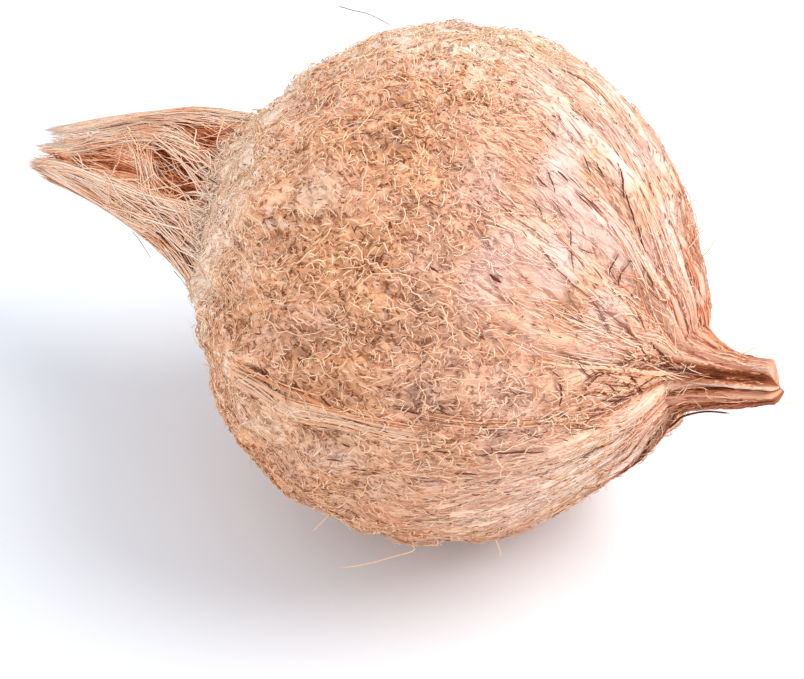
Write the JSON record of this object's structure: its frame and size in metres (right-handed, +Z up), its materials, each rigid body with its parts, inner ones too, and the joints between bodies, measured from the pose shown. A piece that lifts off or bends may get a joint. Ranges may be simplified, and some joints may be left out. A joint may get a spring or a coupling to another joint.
{
  "type": "semi-husked coconut",
  "caption": "Round coconut lying on its side, wrapped in a mat of coarse husk fibre, with a three-sided tuft of husk over its eyes and a short pointed beak opposite.",
  "frame": {"origin": "middle of the small flat spot that the coconut rests on, straight below the middle of the nut", "axes": "+X along the nut's long axis, from the tuft towards the beak, +Z up off the surface, +Y to complete a right-handed frame"},
  "size_m": [0.1965, 0.12, 0.1162],
  "materials": {
    "husk": "dry matted coir fibre, peach tan with cream hairs and dark brown gaps, fully rough"
  },
  "bodies": {
    "root": {"coconut": "husk"}
  },
  "joints": []
}
